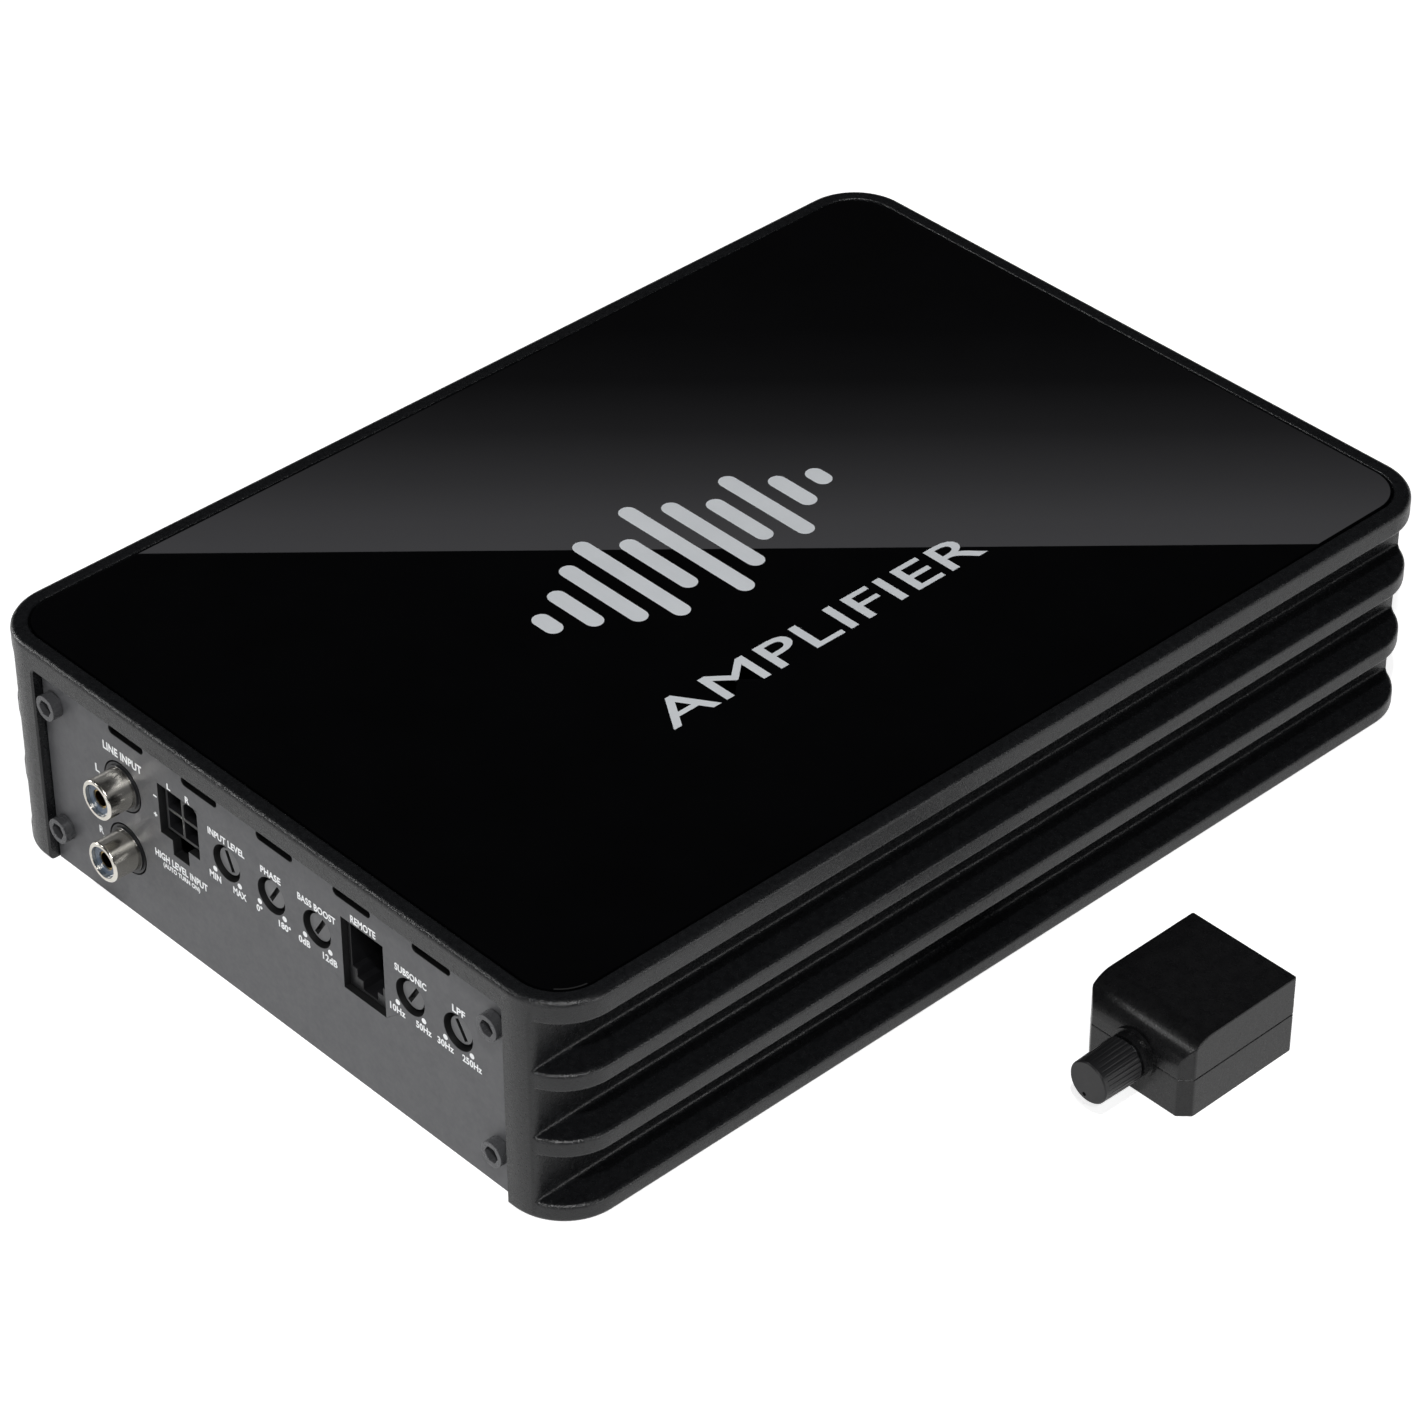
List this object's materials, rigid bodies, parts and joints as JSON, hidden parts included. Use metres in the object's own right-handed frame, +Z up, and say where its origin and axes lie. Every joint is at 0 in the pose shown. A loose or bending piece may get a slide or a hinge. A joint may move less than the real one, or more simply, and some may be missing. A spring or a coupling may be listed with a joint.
{
  "type": "car amplifier",
  "caption": "Compact car audio amplifier: finned black housing with glass top, input panel with adjusters, wire terminals, and a small wired level control with a knob.",
  "frame": {"origin": "middle of the amplifier's underside", "axes": "+X to the right across the input panel, +Y along the amplifier's length from the input panel to the terminal end, +Z up"},
  "size_m": [0.2111, 0.2377, 0.05],
  "materials": {
    "housing_metal": "textured powder coat",
    "top_glass": "mirror gloss",
    "adhesive": "matte",
    "base_metal": "satin",
    "black_screws": "black oxide",
    "panel_metal": "smooth satin",
    "film": "matte",
    "plated_steel": "zinc plated",
    "board": "solder mask",
    "component_plastic": "matte",
    "connector_plastic": "moulded",
    "nickel": "nickel plated",
    "insulator_plastic": "moulded",
    "contact_brass": "gold plated",
    "pot_plastic": "moulded",
    "rotor_plastic": "moulded",
    "led_lens": "clear",
    "pad_rubber": "matte",
    "ferrite": "ceramic",
    "enamelled_copper": "enamelled wire",
    "capacitor_sleeve": "shrink sleeve",
    "control_plastic": "fine satin",
    "pot_metal": "stamped",
    "knob_plastic": "ribbed"
  },
  "bodies": {
    "amplifier": {"housing": "housing_metal", "top_plate": "top_glass", "plate_adhesive": "adhesive", "base_plate": "base_metal", "base_screws": "black_screws", "input_panel": "panel_metal", "input_panel_screws": "black_screws", "output_panel": "panel_metal", "output_panel_screws": "black_screws", "insulating_film": "film", "board_standoffs": "plated_steel", "main_board": "board", "board_screws": "plated_steel", "control_board": "board", "driver_board": "board", "driver_chips": "component_plastic", "line_input_block": "connector_plastic", "line_input_sleeves": "nickel", "line_input_insulators": "insulator_plastic", "line_input_contacts": "contact_brass", "high_level_socket": "connector_plastic", "high_level_pins": "contact_brass", "remote_socket": "connector_plastic", "remote_socket_contacts": "contact_brass", "level_pot": "pot_plastic", "phase_pot": "pot_plastic", "bass_pot": "pot_plastic", "subsonic_pot": "pot_plastic", "lowpass_pot": "pot_plastic", "power_terminal_block": "connector_plastic", "power_terminal_inserts": "nickel", "power_terminal_screws": "plated_steel", "speaker_terminal_block": "connector_plastic", "speaker_terminal_inserts": "nickel", "speaker_terminal_screws": "plated_steel", "status_led": "led_lens", "power_transistors": "component_plastic", "thermal_pads": "pad_rubber", "clamp_bars": "plated_steel", "clamp_screws": "plated_steel", "transformer_core": "ferrite", "transformer_winding": "enamelled_copper", "choke_core": "ferrite", "choke_winding": "enamelled_copper", "input_capacitors": "capacitor_sleeve", "output_capacitors": "capacitor_sleeve"},
    "level_adjuster": {"level_rotor": "rotor_plastic"},
    "phase_adjuster": {"phase_rotor": "rotor_plastic"},
    "bass_adjuster": {"bass_rotor": "rotor_plastic"},
    "subsonic_adjuster": {"subsonic_rotor": "rotor_plastic"},
    "lowpass_adjuster": {"lowpass_rotor": "rotor_plastic"},
    "control_case": {"control_top_shell": "control_plastic", "control_bottom_shell": "control_plastic", "control_shell_screws": "plated_steel", "control_inner_board": "board", "control_pot": "pot_metal", "control_nut": "control_plastic", "control_jack": "connector_plastic"},
    "control_spindle": {"control_shaft": "plated_steel", "control_knob": "knob_plastic"}
  },
  "joints": [
    {"name": "level_turn", "type": "hinge", "parent": "amplifier", "child": "level_adjuster", "pos_m": [-0.0121, -0.1091, 0.0294], "axis": [0, 1, 0], "range_deg": [-125.5, 170.5]},
    {"name": "phase_turn", "type": "hinge", "parent": "amplifier", "child": "phase_adjuster", "pos_m": [0.0006, -0.1091, 0.0294], "axis": [0, 1, 0], "range_deg": [0, 296]},
    {"name": "bass_turn", "type": "hinge", "parent": "amplifier", "child": "bass_adjuster", "pos_m": [0.0133, -0.1091, 0.0294], "axis": [0, 1, 0], "range_deg": [0, 296]},
    {"name": "subsonic_turn", "type": "hinge", "parent": "amplifier", "child": "subsonic_adjuster", "pos_m": [0.0387, -0.1091, 0.0294], "axis": [0, 1, 0], "range_deg": [0, 296]},
    {"name": "lowpass_turn", "type": "hinge", "parent": "amplifier", "child": "lowpass_adjuster", "pos_m": [0.0514, -0.1091, 0.0294], "axis": [0, 1, 0], "range_deg": [-296, 0]},
    {"name": "control_move", "type": "slide", "parent": "amplifier", "child": "control_case", "axis": [1, 0, 0], "range_m": [0, 0.15]},
    {"name": "knob_turn", "type": "hinge", "parent": "control_case", "child": "control_spindle", "pos_m": [0.11935, -0.0122, 0.00865], "axis": [0, 1, 0], "range_deg": [0, 300]}
  ]
}
